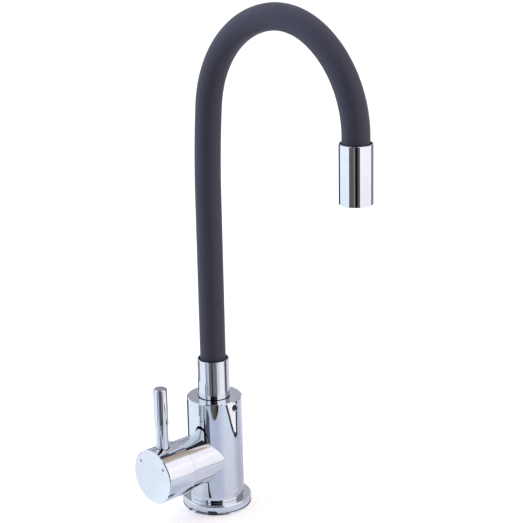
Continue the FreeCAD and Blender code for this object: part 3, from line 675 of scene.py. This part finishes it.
# %% Two dark things on the table's front
BOX_CORNERS = ((0.150, -0.050), (0.190, -0.074), (0.216, -0.088), (0.222, -0.112), (0.216, -0.140),
               (0.150, -0.120))
flat_sheet("table_box_edge", BOX_CORNERS, BOX_HEIGHT,
           glow_material("table_box_edge", ((-180, 180, "slate blue"),)))
CASE_CORNERS = ((0.2637, -0.0781), (0.2466, -0.0688), (0.2391, -0.0618), (0.2328, -0.0495),
                (0.2265, -0.0335), (0.2249, -0.0079), (0.2279, 0.0219), (0.2340, 0.0434),
                (0.2402, 0.0577), (0.2473, 0.0663), (0.2643, 0.0758))
flat_sheet("table_case", CASE_CORNERS, CASE_HEIGHT, glow_material("table_case", (
    (-180, -14, "charcoal cloth"),
    (-12, -2, "olive"),
    (0, 7, "dark olive"),
    (9, 180, "black cloth"),
)))

# %% [markdown]
# The room's wall is round and has four rows, one over another. The camera looks down, so the
# upright column mirrors the floor and the table only. The level hub, the housing, the lever and
# the rounded rims lean back and mirror the wall, each at another height, so each row has its own
# bands. Behind the camera the room is dark, at the right there are white panels with a brownish
# one beside them, and the ceiling is pale.

# %% The wall and the ceiling
LOW_ROW, MIDDLE_ROW, UPPER_ROW, CEILING = 0.65, 1.35, 2.40, 3.80
round_sheet("room_wall_low", (WALL, 0.0), (WALL, LOW_ROW), (
    (-180, -139, "table blue"),
    (-139, -62, "bright blue"),
    (-62, 20, "black cloth"),
    (20, 145, "white panel"),
    (145, 180, "table blue"),
))
round_sheet("room_wall_middle", (WALL, LOW_ROW), (WALL, MIDDLE_ROW), (
    (-180, -178.8, "wall grey"),
    (-178.4, -150, "pale grey"),
    (-139, -66, "bright blue"),
    (-64, -55, "dark edge"),
    (-52, -30, "pale blue"),
    (-27, -3, "black cloth"),
    (0, 22, "dark edge"),
    (24, 88, "bright panel"),
    (92, 145, "pale grey"),
    (147, 180, "wall grey"),
))
round_sheet("room_wall_upper", (WALL, MIDDLE_ROW), (WALL, UPPER_ROW), (
    (-180, -139, "wall grey"),
    (-139, -57, "pale blue"),
    (-56, -52, "grey"),
    (-51, -40, "grey blue"),
    (-37, 20, "black cloth"),
    (24, 96, "white panel"),
    (98, 126, "brown"),
    (128, 180, "wall grey"),
))
round_sheet("room_wall_high", (WALL, UPPER_ROW), (WALL, CEILING), (
    (-180, -139, "wall grey"),
    (-139, -57, "pale blue"),
    (-56, -52, "grey"),
    (-51, -34, "grey blue"),
    (-30, 33, "dark edge"),
    (38, 96, "warm white"),
    (99, 103, "light brown"),
    (110, 125, "brown"),
    (127, 136, "charcoal cloth"),
    (139, 148, "table light"),
    (154, 180, "wall grey"),
))
round_sheet("room_ceiling", (0.01, CEILING), (WALL, CEILING), (
    (-180, -60, "grey blue"),
    (-60, 30, "dark grey"),
    (30, 180, "bright blue"),
))

# %% [markdown]
# ## Floor, world and lamps
#
# The floor is a plain pale sheet. For the camera, and in the metal, it also glows a little, so
# that it comes out white where nothing shades it, and the tap's soft shadow stays on it. The world
# is white for the same rays, and a plain soft light for the rest.

# %% Floor
FLOOR_HALF = 9.0
FLOOR_GLOW = 0.42


def looking_rays(tree):
    """1 for rays from the camera, from a mirror or through glass, and 0 for rays that light."""
    path = add_node(tree, "ShaderNodeLightPath")
    seen = add_node(tree, "ShaderNodeMath", {
        0: path.outputs["Is Camera Ray"], 1: path.outputs["Is Glossy Ray"]}, operation="MAXIMUM")
    seen = add_node(tree, "ShaderNodeMath", {
        0: seen.outputs[0], 1: path.outputs["Is Transmission Ray"]}, operation="MAXIMUM")
    return seen.outputs[0]


floor_mesh = bpy.data.meshes.new("studio_floor")
floor_mesh.from_pydata(
    [(-FLOOR_HALF, -FLOOR_HALF, 0), (FLOOR_HALF, -FLOOR_HALF, 0), (FLOOR_HALF, FLOOR_HALF, 0),
     (-FLOOR_HALF, FLOOR_HALF, 0)], [], [(0, 1, 2, 3)])
floor = bpy.data.objects.new("studio_floor", floor_mesh)
bpy.context.collection.objects.link(floor)

floor_material = bpy.data.materials.new("pale_floor")
floor_material.use_nodes = True
tree = floor_material.node_tree
tree.nodes.clear()
glow_level = add_node(tree, "ShaderNodeMath", {0: looking_rays(tree), 1: FLOOR_GLOW}, operation="MULTIPLY")
paint = add_node(tree, "ShaderNodeBsdfDiffuse", {"Color": linear("#DCDCDC")})
glow = add_node(tree, "ShaderNodeEmission", {"Color": linear("#FFFFFF"), "Strength": glow_level.outputs[0]})
both = add_node(tree, "ShaderNodeAddShader", {0: paint.outputs[0], 1: glow.outputs[0]})
add_node(tree, "ShaderNodeOutputMaterial", {"Surface": both.outputs[0]})
floor_mesh.materials.append(floor_material)
print("floor half width", FLOOR_HALF, "m, glow", FLOOR_GLOW)

# %% World
AMBIENT = 0.34
world = bpy.data.worlds.new("studio_world")
bpy.context.scene.world = world
world.use_nodes = True
tree = world.node_tree
tree.nodes.clear()
level = add_node(tree, "ShaderNodeMapRange", {
    "Value": looking_rays(tree), "To Min": AMBIENT, "To Max": 1.0})
sky = add_node(tree, "ShaderNodeBackground", {"Color": linear("#FFFFFF"), "Strength": level.outputs[0]})
add_node(tree, "ShaderNodeOutputWorld", {"Surface": sky.outputs[0]})
print("ambient light", AMBIENT)

# %% [markdown]
# The lamps are very wide suns, which light the tap and the whole floor evenly from any distance.
# Together with the world they add up to about the level at which a colour renders as it is
# written. The left one is slightly blue and the right one slightly warm, as the panels are, and
# both draw a soft lighter line along the silicone. The chrome doesn't show the lamps.

# %% Lamps
LAMP_WIDTH = 60


def soft_lamp(name, colour, strength, azimuth, elevation):
    """A sun so wide that it throws a soft shadow. Angles are in degrees, azimuth from the camera."""
    lamp_data = bpy.data.lights.new(name, "SUN")
    lamp_data.color = linear(colour)[:3]
    lamp_data.energy = strength
    lamp_data.angle = math.radians(LAMP_WIDTH)
    lamp = bpy.data.objects.new(name, lamp_data)
    turn, lift = math.radians(VIEW_OF_TAP + azimuth), math.radians(elevation)
    towards = Vector((math.cos(turn) * math.cos(lift), math.sin(turn) * math.cos(lift), math.sin(lift)))
    lamp.rotation_euler = towards.to_track_quat("Z", "Y").to_euler()
    lamp.visible_glossy = False
    lamp.visible_camera = False
    bpy.context.collection.objects.link(lamp)
    print(f"{name}: strength {strength}, azimuth {azimuth}, elevation {elevation}")


soft_lamp("lamp_left", "#C4D4FF", strength=2.1, azimuth=-85, elevation=30)
soft_lamp("lamp_right", "#FFE0D0", strength=1.5, azimuth=80, elevation=30)
soft_lamp("lamp_top", "#F4F8FF", strength=1.3, azimuth=-120, elevation=75)

# %% [markdown]
# ## The camera
#
# The camera's place, turn and lens were worked out from the tap itself: the upright column, the
# round rims and the known height of the arch fix them. It looks down by about eighteen degrees.

# %% Camera
CAMERA_PLACE = Vector((1.04069, -0.92118, 0.66729))
CAMERA_TURN = math.radians(46.69)
CAMERA_PITCH = math.radians(17.73)
CAMERA_ROLL = math.radians(-1.16)
LENS_MM = 118.17
SENSOR_MM = 36.0
SIGHT = 50.0

right = Vector((math.cos(CAMERA_TURN), math.sin(CAMERA_TURN), 0.0))
level_share = math.cos(CAMERA_PITCH)
back = Vector((math.sin(CAMERA_TURN) * level_share, -math.cos(CAMERA_TURN) * level_share,
               math.sin(CAMERA_PITCH)))
up = back.cross(right)
rolled_right = right * math.cos(CAMERA_ROLL) + up * math.sin(CAMERA_ROLL)
rolled_up = up * math.cos(CAMERA_ROLL) - right * math.sin(CAMERA_ROLL)
camera_data = bpy.data.cameras.new("camera")
camera_data.lens = LENS_MM
camera_data.sensor_width = SENSOR_MM
camera_data.clip_end = SIGHT
camera = bpy.data.objects.new("camera", camera_data)
turn = Matrix((rolled_right, rolled_up, back)).transposed()
camera.matrix_world = Matrix.Translation(CAMERA_PLACE) @ turn.to_4x4()
bpy.context.collection.objects.link(camera)
bpy.context.scene.camera = camera
bpy.context.scene.view_settings.view_transform = "Standard"
print("camera", [round(v, 3) for v in CAMERA_PLACE], "lens", LENS_MM, "mm")
